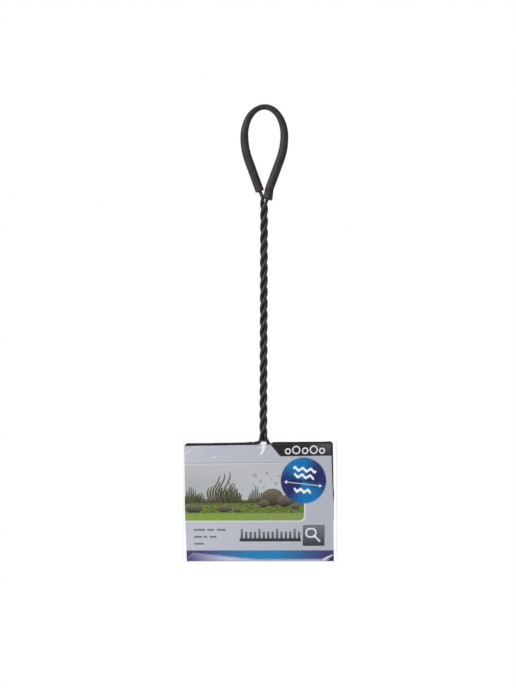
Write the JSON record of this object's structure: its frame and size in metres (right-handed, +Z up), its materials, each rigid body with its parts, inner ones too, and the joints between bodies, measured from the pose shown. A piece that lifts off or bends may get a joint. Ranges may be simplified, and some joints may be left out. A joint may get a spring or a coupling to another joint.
{
  "type": "aquarium fish net",
  "caption": "Small rectangular hand net for aquarium fish with a twisted wire handle and sleeved finger loop, its hoop and soft bag packed behind a folded printed card in a clear film bag.",
  "frame": {"origin": "inside of the finger loop's top, where a hook carries the net", "axes": "+X to the right and +Y to the back as seen from the front of the card, +Z up along the handle"},
  "size_m": [0.1235, 0.0122, 0.3659],
  "materials": {
    "steel": "drawn",
    "coating": "satin vinyl",
    "sleeve": "satin",
    "hem": "woven",
    "thread": "twisted",
    "netting": "soft fine mesh",
    "seam": "overlocked",
    "card": "coated print",
    "film": "clear"
  },
  "bodies": {
    "net": {"steel_core": "steel", "wire_coat": "coating", "grip_sleeve": "sleeve", "hem_binding": "hem", "hem_thread": "thread", "net_bag": "netting", "side_seam_left": "seam", "side_seam_right": "seam"},
    "card": {"printed_card": "card"},
    "film": {"film_bag": "film"}
  },
  "joints": [
    {"name": "card_slide", "type": "slide", "parent": "net", "child": "card", "axis": [0, 0, -1], "range_m": [0, 0.1]},
    {"name": "film_slide", "type": "slide", "parent": "card", "child": "film", "axis": [0, 0, -1], "range_m": [0, 0.11]}
  ]
}
